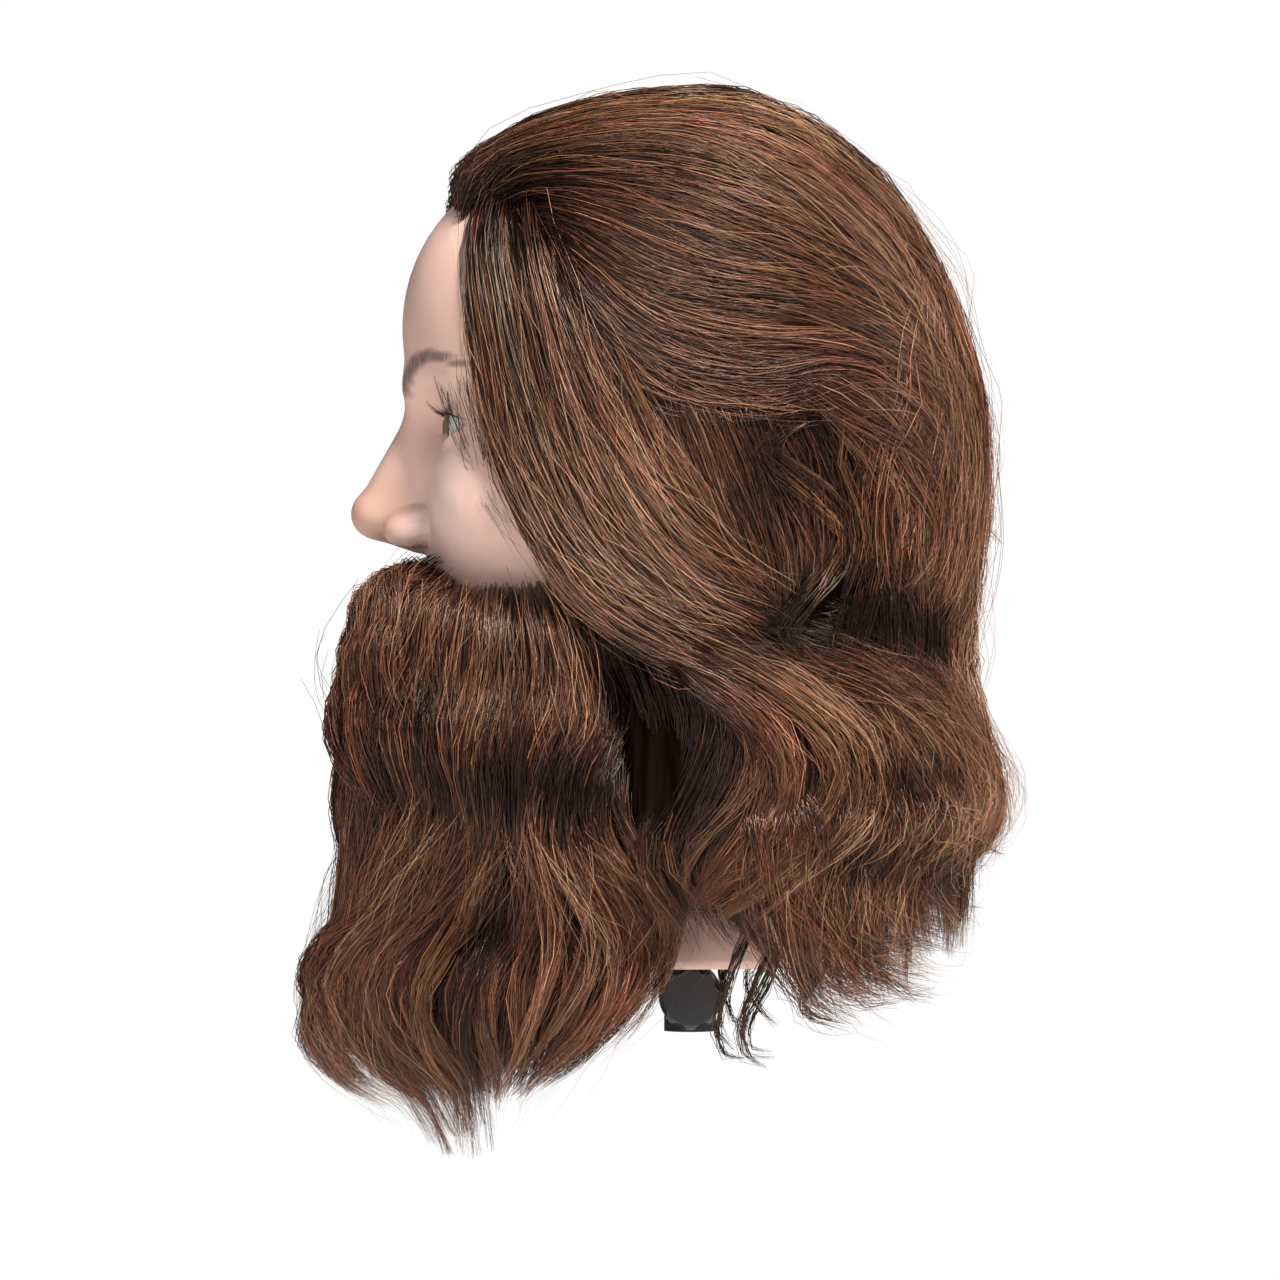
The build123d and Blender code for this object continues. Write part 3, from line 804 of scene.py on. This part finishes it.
SWIRL_INNER = [
    [(-4, 110), (14, 100), (28, 86), (35, 70), (34, 56), (24, 43), (12, 34), (2, 28)],
    [(-10, 112), (2, 100), (16, 88), (22, 74), (18, 58), (6, 44), (-2, 34), (0, 24)],
]
LOW_BACK = [
    [(20, 124), (42, 115), (62, 105), (80, 94), (94, 82), (103, 66), (106, 50), (99, 36), (88, 28)],
    [(30, 130), (52, 121), (72, 112), (90, 100), (102, 84), (107, 66), (106, 50), (100, 38)],
    [(70, 132), (84, 121), (96, 107), (104, 90), (107, 70), (106, 54)],
]
NAPE = [
    [(26, 112), (38, 96), (48, 78), (54, 60), (50, 42), (42, 26), (40, 8), (46, -12)],
    [(48, 108), (60, 92), (68, 74), (72, 56), (67, 40), (58, 24), (57, 6), (62, -12)],
    [(66, 104), (78, 90), (86, 72), (88, 54), (83, 38), (76, 22), (72, 6), (72, -5)],
    [(82, 108), (94, 92), (100, 74), (101, 56), (95, 42), (87, 28), (80, 12)],
    [(94, 112), (101, 96), (104, 78), (105, 60), (103, 46), (96, 34), (89, 24)],
]
NAPE_HOOKS = [
    [(20, 14), (14, 2), (10, -12), (10, -24), (16, -33), (25, -36)],
    [(30, 12), (22, -4), (18, -15), (20, -26), (28, -30)],
    [(48, 12), (42, -2), (46, -14), (56, -20)],
]
BEHIND_BEARD = [
    [(-36, 130), (-26, 112), (-18, 94), (-16, 76), (-22, 58), (-20, 40), (-12, 24), (-14, 10)],
    [(-14, 124), (-4, 106), (2, 88), (-2, 70), (-10, 52), (-10, 38), (-2, 24), (2, 12)],
    [(6, 118), (14, 102), (16, 84), (12, 66), (2, 50), (0, 36), (8, 22), (18, 12)],
    [(24, 112), (34, 94), (38, 76), (36, 58), (26, 42), (16, 30), (20, 18), (30, 8)],
    [(44, 110), (52, 92), (54, 74), (52, 56), (44, 40), (36, 26), (38, 12)],
]
FRINGE = [
    [(22, 58), (26, 40), (28, 22), (32, 6), (40, -8), (54, -16)],
    [(36, 60), (42, 42), (44, 22), (48, 4), (58, -8), (70, -13)],
    [(54, 60), (60, 42), (63, 24), (66, 8), (74, 0), (84, -2)],
    [(72, 62), (77, 44), (80, 28), (83, 16), (90, 10), (98, 9)],
    [(86, 64), (92, 48), (94, 36), (96, 27), (102, 23), (109, 24)],
    [(94, 74), (100, 58), (103, 46), (104, 38), (108, 34), (113, 36)],
]
FACE_WISPS = [
    [(-87, 272), (-92, 250), (-93, 225), (-89, 200), (-82, 180), (-73, 163), (-62, 150)],
    [(-85, 272), (-88, 250), (-88, 225), (-84, 200), (-76, 178), (-67, 160), (-54, 144)],
]
TUFT = [
    [(88, 178), (99, 167), (108, 158), (116, 151)],
    [(90, 196), (102, 184), (110, 174), (117, 165)],
    [(88, 214), (99, 206), (106, 197), (110, 188)],
    [(90, 120), (102, 110), (109, 100), (114, 88)],
]
BEARD_FALL = [
    [(-103, 151), (-113, 148), (-121, 138), (-127, 116), (-128, 96), (-126, 64), (-120, 41), (-125, 26),
     (-136, 6), (-142, -9), (-138, -27), (-122, -43), (-102, -54), (-91, -70)],
    [(-98, 150), (-106, 145), (-114, 132), (-119, 112), (-120, 92), (-119, 66), (-114, 44), (-117, 24),
     (-128, 6), (-135, -10), (-131, -28), (-117, -43), (-98, -55)],
    [(-92, 146), (-98, 139), (-102, 117), (-104, 91), (-102, 66), (-106, 41), (-119, 16), (-131, -4),
     (-133, -20), (-124, -39), (-103, -53)],
    [(-83, 143), (-88, 134), (-90, 112), (-90, 84), (-91, 56), (-100, 28), (-113, 4), (-119, -16),
     (-113, -37), (-97, -54)],
    [(-74, 142), (-76, 128), (-77, 109), (-77, 76), (-79, 46), (-92, 21), (-102, -4), (-101, -29), (-91, -50),
     (-89, -68)],
    [(-62, 143), (-60, 128), (-57, 109), (-58, 81), (-56, 50), (-56, 24), (-66, -4), (-70, -29), (-76, -49)],
    [(-50, 144), (-46, 129), (-41, 109), (-34, 89), (-40, 69), (-44, 46), (-39, 26), (-27, 6), (-29, -14),
     (-42, -32), (-58, -46)],
    [(-38, 140), (-31, 122), (-26, 104), (-26, 88), (-34, 70), (-36, 50), (-26, 34), (-15, 20), (-10, 4),
     (-16, -9), (-30, -24)],
    [(-28, 134), (-16, 117), (0, 99), (10, 85), (15, 70), (12, 54), (3, 41), (-2, 30), (-4, 16), (-14, 2)],
]
BEARD_UNDER = [
    [(-112, 44), (-113, 22), (-121, 2), (-121, -20), (-109, -40), (-98, -56)],
    [(-90, 40), (-94, 16), (-100, -6), (-98, -28), (-90, -52)],
    [(-70, 40), (-72, 16), (-78, -8), (-80, -32), (-80, -54)],
    [(-52, 40), (-50, 18), (-50, -6), (-54, -30), (-64, -50)],
    [(-36, 40), (-30, 20), (-26, 0), (-32, -20), (-46, -38)],
]
MOUSTACHE = [      # (x, z) seen from the front
    [(1, 149), (3, 141), (7, 128), (12, 110), (15, 92)],
    [(4, 150), (12, 143), (20, 130), (25, 112), (28, 94)],
    [(9, 150), (22, 144), (34, 131), (41, 114), (44, 96)],
    [(14, 150), (30, 146), (44, 134), (52, 116), (55, 98)],
]


# ---- hair and beard -----------------------------------------------------------------------------
def hair_mass():
    """The shaded depth of the hair: one closed shell over the scalp, open at the face and the neck."""
    columns = 160
    around = np.arange(columns) / columns * 2 * math.pi
    ahead = -np.cos(around)                                  # -1 at the face, 1 at the back
    bottom = np.interp(ahead, [-1, -0.45, -0.32, 0.12, 0.25, 1], [150, 110, 34, 32, 34, 36])
    rows_down, rows_up = 64, 40
    under = 13                      # room that the strands take over this surface, mm
    inside_x, inside_y = 22, 26     # depth in the skull where no hair hangs, mm
    rings = []
    for k in range(rows_down):
        z = 312 - (312 - bottom) * k / (rows_down - 1)
        cy, w, d = sections(HAIR, z)
        sy, sw, sd = sections(SKULL, np.clip(z, 0, 300))
        edge = np.interp(z, HAIR_EDGE[:, 0], HAIR_EDGE[:, 1])
        y_hair = cy + ahead * (d - under)
        shown = smooth_step(edge + 4, edge + 22, y_hair)
        wide = (w - under) * shown + (sw - inside_x) * (1 - shown)
        deep = (d - under) * shown + (sd - inside_y) * (1 - shown)
        mid = cy * shown + sy * (1 - shown)
        rings.append(np.stack([wide * np.sin(around), mid + ahead * deep, z], -1))
    for k in range(rows_up):
        z = bottom + (288 - bottom) * (k + 1) / rows_up
        sy, sw, sd = sections(SKULL, np.clip(z, 0, 300))
        room = 3.0 - 38.0 * smooth_step(60, 90, z)
        rings.append(np.stack([(sw + room) * np.sin(around), sy + ahead * (sd + room), z], -1))
    points = np.concatenate([*rings, [[0, -4, 313.0], [0, -4, 289.0]]])
    faces = closed_faces(rows_down + rows_up, columns)
    mat = under_hair_material("scalp_hair_depth", (0.0020, 0.0010, 0.0008), (0.012, 0.0058, 0.0040))
    obj = add_mesh("hair_depth", points, faces, mat)
    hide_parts("hair_front", "hair_crown", "hair_left", "hair_right", "hair_back", "hair_nape",
                "hair_hem_left", "hair_hem_right")


def beard_mass():
    """The shaded depth of the beard: a closed solid over the jaw that stays clear of the neck's stand."""
    arc, flat = 96, 24
    rows, top, bottom = 70, 146, -26
    inside_x, inside_y = 20, 26     # depth in the skull above the beard, mm
    rings = []
    for k in range(rows):
        z = top - (top - bottom) * k / (rows - 1)
        cy, w, d = [float(v) for v in sections(BEARD, z)]
        sy, sw, sd = [float(v) for v in sections(SKULL, max(z, 60))]
        grown = float(smooth_step(146, 112, z))       # 0 inside the skull, 1 below the cheeks
        narrow = float(smooth_step(-34, 6, z))        # 0 at the bottom, 1 beside the neck
        inset = 12 + 8 * (1 - narrow)
        wide = (w - inset) * grown + (sw - inside_x) * (1 - grown)
        deep = (d - inset) * grown + (sd - inside_y) * (1 - grown)
        tuck = math.sqrt(1 - (max(0.0, -8 - z) / 18.2) ** 2)      # rounds the lower end
        wide, deep = wide * (0.45 + 0.55 * narrow) * tuck, deep * (0.75 + 0.25 * narrow) * tuck
        mid = cy * grown + sy * (1 - grown)
        back = np.interp(z, [-40, 4, 24], [-54, -52, -24])
        far = math.acos(np.clip(-(back - mid) / deep, -0.98, 0.98))
        turn = np.linspace(-far, far, arc)
        x = wide * np.sin(turn)
        y = mid - deep * np.cos(turn)
        close = np.linspace(0, 1, flat + 2)[1:-1]
        x = np.concatenate([x, x[-1] + (x[0] - x[-1]) * close])
        y = np.concatenate([y, y[-1] + (y[0] - y[-1]) * close])
        rings.append(np.stack([x, y, np.full_like(x, z)], -1))
    ends = [rings[0].mean(0), rings[-1].mean(0)]
    points = np.concatenate([*rings, ends])
    faces = closed_faces(rows, arc + flat)
    mat = under_hair_material("beard_hair_depth", (0.0040, 0.0018, 0.0013), (0.020, 0.0092, 0.0062))
    obj = add_mesh("beard_depth", points, faces, mat)
    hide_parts("moustache", "beard_front", "beard_left", "beard_right")


def look(width, thick, count, level, **more):
    """What a lock looks like, as grow_lock takes it."""
    base = {"width": width, "thick": thick, "count": count, "level": level, "clump": 0.6, "frizz": 0.7,
            "root": 0.75, "tip": 0.45, "radius": 0.195}
    base.update(more)
    return base


DENSITY = 1.0      # share of the locks that is grown


def n_of(locks):
    return max(2, int(round(locks * DENSITY)))


BEARD_TINTS = [0.10, 0.42, 0.42, 0.06]      # how often each tint comes, in the order of HAIR_TINTS


def scalp_strands():
    rng = np.random.default_rng(SEED + 2)
    grown = Strands()
    for side in SIDES:
        def family(guides, locks, lift, shape, **more):
            grow_family(grown, rng, HAIR, guides, n_of(locks), side, look(*shape), lift, **more)
        family(BELOW_SWEEP, 24, (-7, -2), (17, 7, 52, 2.1))
        family(BEHIND_BEARD, 20, (-9, -2), (16, 7, 50, 1.3))
        family(BACK_EDGE, 9, (-7, -2), (16, 7, 60, 2.6))
        family(NAPE, 24, (-6, 0), (15, 8, 52, 2.7), jitter=4.0)
        fringe = look(15, 8, 42, 2.9, frizz=1.8, ragged=0.6, clump=0.5, tip=0.9)
        grow_family(grown, rng, HAIR, FRINGE, n_of(24), side, fringe, (-4, 2), jitter=4.5)
        wisps = look(12, 5, 7, 2.6, frizz=1.2, ragged=0.6, radius=0.11, clump=0.2)
        grow_family(grown, rng, HAIR, FACE_WISPS, n_of(9), side, wisps, (-3, 2))
        family(NAPE_HOOKS, 4, (-6, -2), (5, 4, 22, 0.8))
        family(SWIRL_INNER, 9, (-5, 0), (12, 7, 60, 2.9))
        family(LOW_BACK, 18, (-3, 2), (15, 7, 60, 2.9))
        family(SWIRL, 8, (-1, 3), (13, 7, 60, 3.2))
        family(BACK_CURLS, 28, (-4, 1), (15, 7, 56, 2.8))
        family(TUFT, 7, (-4, 0), (8, 6, 18, 2.6))
        curtain = look(15, 6, 68, 2.55, clump=0.45, frizz=0.5, sink=4, rise=0.1, step=14)
        grow_family(grown, rng, HAIR, CURTAIN, n_of(34), side, curtain, (-3, 2), jitter=1.8)
        sweep = look(16, 6, 68, 2.4, clump=0.45, frizz=0.5, sink=4, rise=0.1, step=14)
        grow_family(grown, rng, HAIR, TOP_SWEEP, n_of(48), side, sweep, (-2, 2), jitter=2.0)
    crown_strands(grown, rng)
    back_strands(grown, rng)
    loose = (
        (TOP_SWEEP, (-1, 3)), (CURTAIN, (-1, 3)), (LOW_BACK, (0, 4)), (NAPE, (0, 3)), (BACK_EDGE, (-1, 4)),
        (FRINGE, (-2, 4)),
    )
    for guides, lift in loose:
        for side in SIDES:
            grow_family(grown, rng, HAIR, guides, n_of(34), side, stray(3.9), lift, jitter=4.5)
    for obj in grown.build("hair_strands", STRAND_MATS):
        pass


def stray(level):
    """Thin single hairs that stand off the locks."""
    return look(26, 10, 10, level, clump=0.0, frizz=2.6, wild=1.6, radius=0.09, ragged=0.6, stagger=0.5,
                rooting=0.3)


def crown_strands(grown, rng):
    """The strip over the middle of the head, swept back from the forehead."""
    middle = []
    for x in (-36, -18, 0, 18, 36):
        drop = x * x / 130.0
        middle.append([
            (x * 0.8, -84, 269 - drop), (x * 0.85, -86, 281 - drop), (x * 0.9, -82, 291 - drop),
            (x * 0.9, -69, 300 - drop), (x, -47, 308 - drop), (x, -15, 313 - drop), (x, 11, 314 - drop),
            (x, 40, 306 - drop), (x * 1.1, 61, 291 - drop), (x * 1.15, 77, 273 - drop), (x * 1.1, 88, 253),
            (x, 95, 233), (x, 103, 207), (x * 0.95, 105, 180), (x * 0.95, 102, 150),
        ])
    lines = [resample(g, FINE) for g in middle]
    s = np.linspace(0, 1, FINE)[:, None]
    count = n_of(28)
    for n in range(count):
        g = (n + rng.uniform(0.1, 0.9)) / count * (len(lines) - 1)
        k = min(int(g), len(lines) - 2)
        line = lines[k] * (1 - g + k) + lines[k + 1] * (g - k)
        line = line + rng.normal(0, 1.2, 3)
        line = line + rng.normal(0, 2.0, 3) * np.sin(s * math.pi * rng.uniform(1, 3))
        outward = outward_of(HAIR, line)
        line = line - outward * (rng.uniform(1, 3) + 3 * (1 - smooth_step(0, 0.08, s)))
        own = look(17, 6, 66, 2.5 + rng.normal(0, 0.4), clump=0.45, frizz=0.5, step=14)
        own["tint"] = int(rng.choice(len(TINT_NAMES), p=[0.3, 0.35, 0.1, 0.25]))
        grow_lock(grown, rng, line, outward, own)


def back_strands(grown, rng):
    """Waved locks down the back of the head."""
    back = []
    for x in (-86, -62, -40, -20, 0, 20, 40, 62, 86):
        wave = 7 * (1 if (x // 20) % 2 else -1)
        back.append([
            (x * 0.55, 258), (x * 0.8 + wave, 226), (x - wave, 190), (x + wave, 154), (x - wave, 118),
            (x + wave, 84), (x * 0.96 - wave, 58), (x * 0.90 + wave * 0.5, 34), (x * 0.82, 12),
        ])
    grow_family(grown, rng, HAIR, back, n_of(50), 1, look(20, 8, 48, 2.8, ragged=0.15), (-4, 1),
                chart="round", facing=1, jitter=4)


def beard_look(width, thick, count, level, **more):
    return look(width, thick, count, level, tints=BEARD_TINTS, **more)


def beard_strands():
    rng = np.random.default_rng(SEED + 3)
    grown = Strands()
    for side in SIDES:
        for lift, locks, level in (((-9, -4), 14, 1.0), ((-4, 1), 52, 2.35)):
            fall = beard_look(13, 8, 66, level, clump=0.65, tip=0.35, sink=8, rise=0.12, step=12, depth=5.5,
                              waves=BEARD_WAVES)
            grow_family(grown, rng, BEARD, BEARD_FALL, n_of(locks), side, fall, lift, jitter=2.6)
        under = beard_look(17, 12, 46, 1.4, tip=0.6, waves=BEARD_WAVES)
        grow_family(grown, rng, BEARD, BEARD_UNDER, n_of(26), side, under, (-16, -6))
        lip = beard_look(11, 7, 60, 2.9, tip=0.35, sink=10, rise=0.3)
        grow_family(grown, rng, BEARD, MOUSTACHE, n_of(16), side, lip, (-2, 2), chart="round", jitter=1.6)
        grow_family(grown, rng, BEARD, BEARD_FALL, n_of(46), side, stray(3.4), (-1, 4), jitter=5)
    front = []
    for x in (-56, -40, -25, -11, 11, 25, 40, 56):
        wave = 5 * (1 if (x // 16) % 2 else -1)
        front.append([
            (x * 0.75, 140), (x * 0.9, 124), (x + wave * 0.5, 104), (x - wave, 78), (x + wave, 52),
            (x - wave, 26), (x * 0.95 + wave, 4), (x * 0.8 - wave, -18), (x * 0.62, -36), (x * 0.3, -48),
        ])
    middle = beard_look(15, 8, 48, 2.6, clump=0.65, tip=0.35, sink=8, rise=0.15, depth=3.5,
                        waves=BEARD_WAVES)
    grow_family(grown, rng, BEARD, front, n_of(32), 1, middle, (-4, 1), chart="round", jitter=3.0)
    for obj in grown.build("beard_strands", STRAND_MATS):
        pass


# ---- the parts of the clamp --------------------------------------------------------------------
def dress_cad_nodes():
    black = plastic_material("black_plastic", (0.010, 0.010, 0.011), 0.38)
    grip = plastic_material("knob_plastic", (0.012, 0.012, 0.013), 0.45)
    finishes = {
        "neck_plate": plastic_material("plate_plastic", (0.52, 0.44, 0.36), 0.5),
        "socket_sleeve": plastic_material("sleeve_plastic", (0.03, 0.03, 0.032), 0.45),
        "plate_screws": metal_material("screw_steel", (0.62, 0.62, 0.62), 0.35, (1, 1, 1)),
        "pivot_bolt": metal_material("bolt_steel", (0.58, 0.58, 0.60), 0.32, (0.1, 1, 1)),
        "friction_washers": plastic_material("fibre_washer", (0.16, 0.07, 0.03), 0.8),
        "knob_washer": metal_material("washer_steel", (0.60, 0.60, 0.60), 0.35, (1, 1, 1)),
        "knob_insert": metal_material("insert_brass", (0.70, 0.50, 0.22), 0.35, (1, 1, 1)),
        "swivel_fork": black, "taper_post": black, "lock_knob": grip,
    }
    for node, mat in finishes.items():
        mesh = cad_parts[node].data
        mesh.materials.clear()
        mesh.materials.append(mat)


# ---- light, floor and camera ---------------------------------------------------------------------
WORLD_LIGHT = 0.17      # strength of the white surroundings; the camera sees them at full white


def add_area(name, place, target, size, power, color=(1, 1, 1)):
    """A square lamp at place, turned towards target."""
    data = bpy.data.lights.new(name, "AREA")
    data.size, data.energy, data.color = size, power, color
    lamp = bpy.data.objects.new(name, data)
    lamp.location = place
    bpy.context.scene.collection.objects.link(lamp)
    away = np.array(place, float) - np.array(target, float)
    flat = math.hypot(away[0], away[1])
    lamp.rotation_euler = (math.atan2(flat, away[2]), 0, math.atan2(away[1], away[0]) + math.pi / 2)


def light_scene():
    world = bpy.data.worlds.new("white_room")
    bpy.context.scene.world = world
    world.use_nodes = True
    tree = world.node_tree
    background = tree.nodes["Background"]
    background.inputs["Color"].default_value = (1, 1, 1, 1)
    path = add_node(tree, "ShaderNodeLightPath")
    level = math_node(tree, "MULTIPLY_ADD", path.outputs["Is Camera Ray"], 1 - WORLD_LIGHT, WORLD_LIGHT)
    tree.links.new(level, background.inputs["Strength"])
    add_area("key", (1.0, 0.55, 1.6), (0, 0, 0.2), 0.5, 84, (1.0, 0.97, 0.93))
    add_area("front_fill", (2.0, -1.0, 0.35), (0, -0.05, 0.15), 0.9, 15)
    add_area("back_rim", (-0.6, 1.3, 1.1), (0, 0, 0.2), 0.6, 18, (1.0, 0.95, 0.9))
    bpy.context.scene.view_settings.view_transform = "Standard"


def add_floor():
    mat, _, _ = new_material("floor_white", (0.86, 0.86, 0.86), 0.8)
    mesh = bpy.data.meshes.new("floor")
    count, radius, level = 96, 2.0, -0.30
    ring = [(radius * math.cos(a), radius * math.sin(a), level)
            for a in np.linspace(0, 2 * math.pi, count, endpoint=False)]
    mesh.from_pydata(ring, [], [list(range(count))])
    mesh.materials.append(mat)
    floor = bpy.data.objects.new("floor", mesh)
    bpy.context.scene.collection.objects.link(floor)


def add_camera():
    data = bpy.data.cameras.new("camera")
    data.sensor_width = 36.0
    data.lens = 185.0
    camera = bpy.data.objects.new("camera", data)
    camera.location = (2.4, -0.0183, 0.1425)
    camera.rotation_euler = (math.radians(90), 0, math.radians(90))
    bpy.context.scene.collection.objects.link(camera)
    bpy.context.scene.camera = camera


STRAND_MATS = strand_materials()
build_head()
build_foam()
build_eyes()
build_lashes()
hair_mass()
beard_mass()
scalp_strands()
beard_strands()
dress_cad_nodes()
add_floor()
light_scene()
add_camera()
